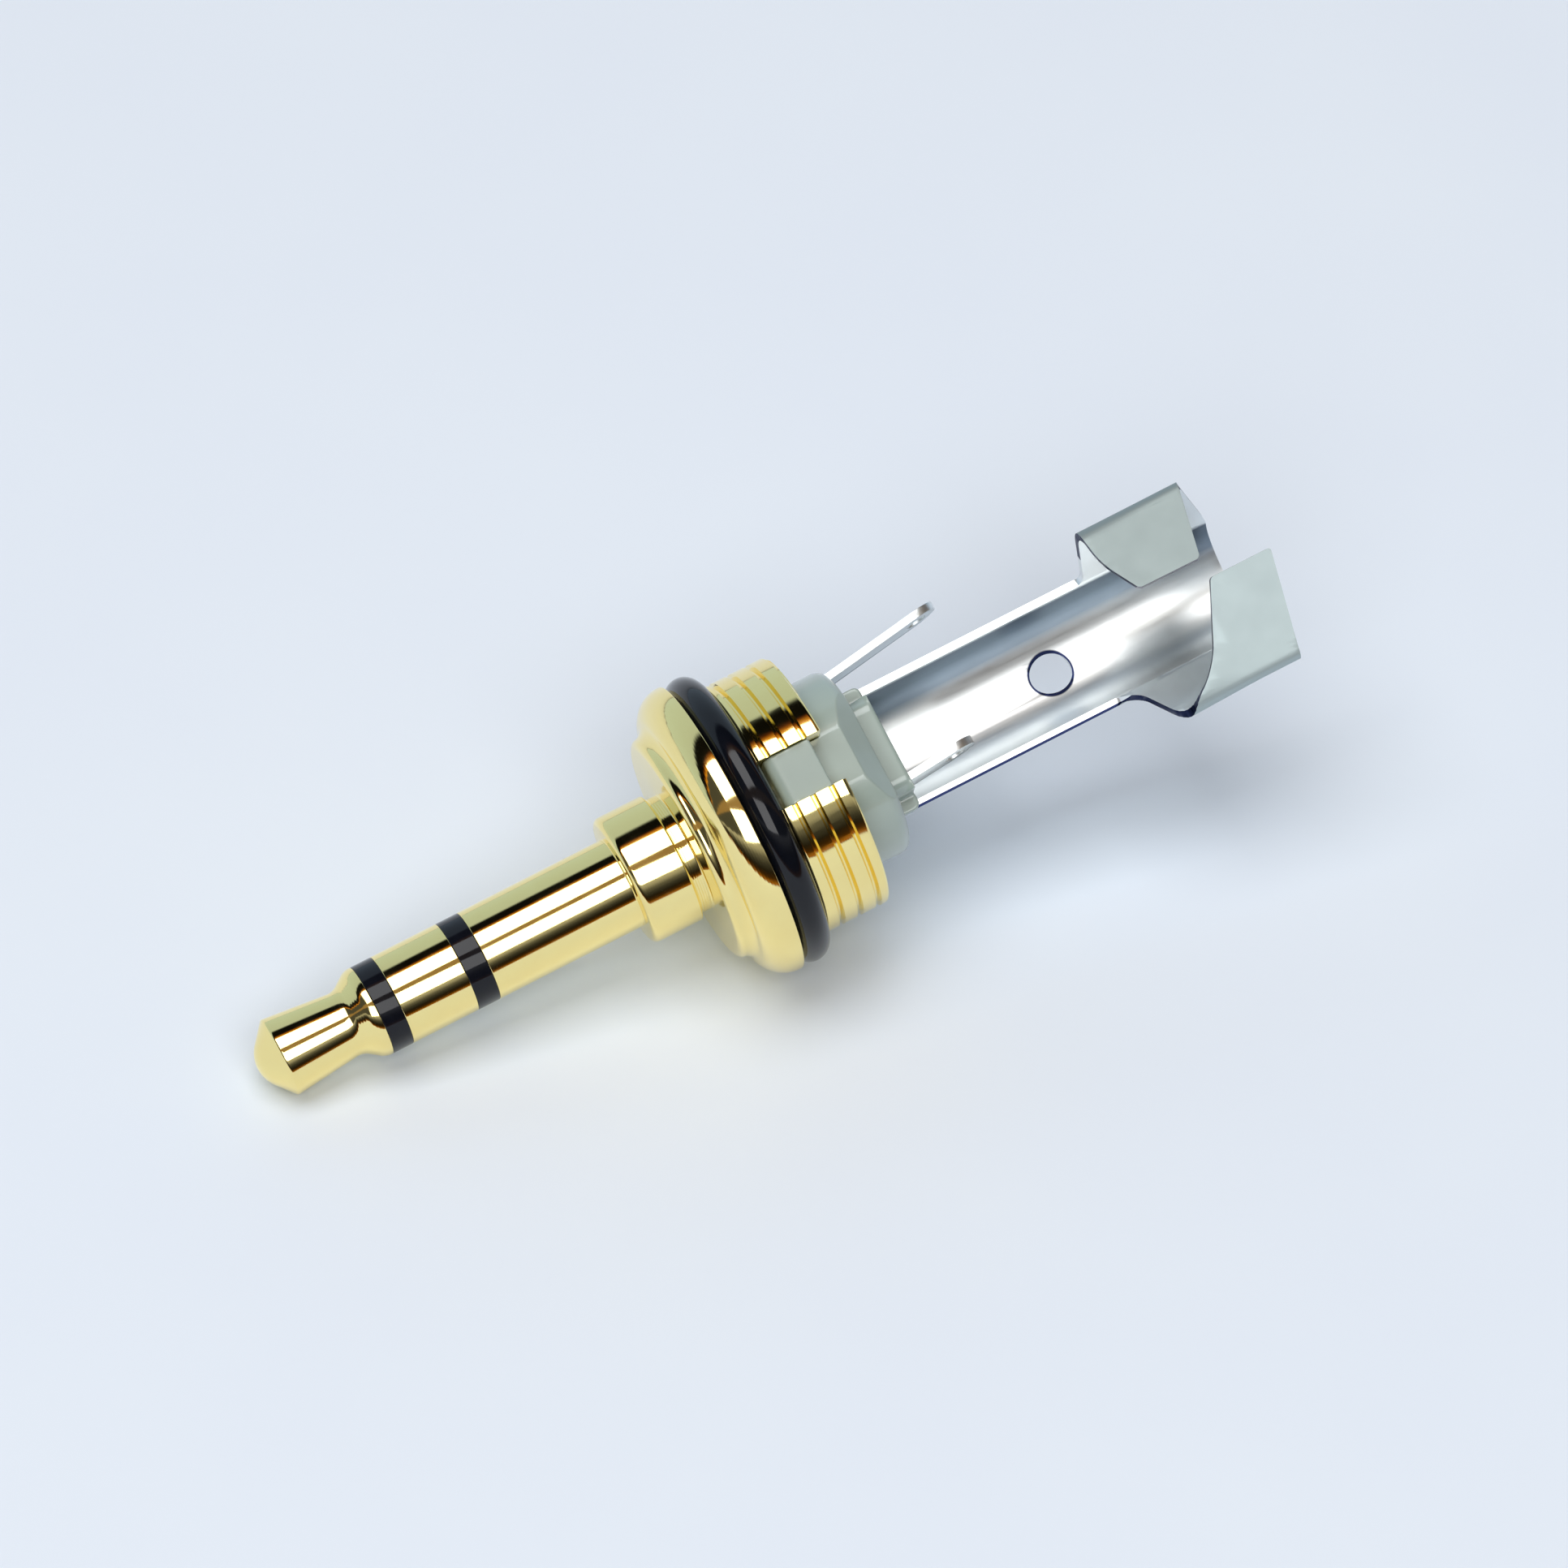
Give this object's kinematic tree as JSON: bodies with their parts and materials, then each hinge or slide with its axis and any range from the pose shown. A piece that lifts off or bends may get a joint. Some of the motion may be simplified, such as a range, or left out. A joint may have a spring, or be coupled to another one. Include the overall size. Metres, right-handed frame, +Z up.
{
  "type": "stereo mini jack plug",
  "caption": "Stereo mini jack plug without its screw-on cover: banded shaft, domed flange with a rubber seal, threaded body, solder lugs and a folded cable clamp.",
  "frame": {"origin": "centre of the bottom of the resting plug's bounding box, on the surface it lies on", "axes": "+X along the plug's length from the tip towards the cable end, +Z up. The plug's own axis rises from the tip by 12.96 degrees in the XZ plane, because it lies on the edge of its nose and the rim of its flange. The trough's open side is rolled 28.2 degrees from up towards -Y."},
  "size_m": [0.0402, 0.0114, 0.0134],
  "materials": {
    "gold_plate": "turned brass with polished gold plate",
    "black_plastic": "glossy black moulding turned flush with the shaft",
    "black_rubber": "smooth glossy black rubber cord",
    "pale_plastic": "pale grey-green satin moulding",
    "tinned_sheet": "bright tinned sheet metal"
  },
  "bodies": {
    "root": {"tip_contact": "gold_plate", "tip_insulator": "black_plastic", "ring_contact": "gold_plate", "ring_insulator": "black_plastic", "plug_body": "gold_plate", "o_ring": "black_rubber", "front_insulator": "pale_plastic", "rear_insulator": "pale_plastic", "ring_lug": "tinned_sheet", "tip_lug": "tinned_sheet", "ground_clamp": "tinned_sheet"}
  },
  "joints": []
}
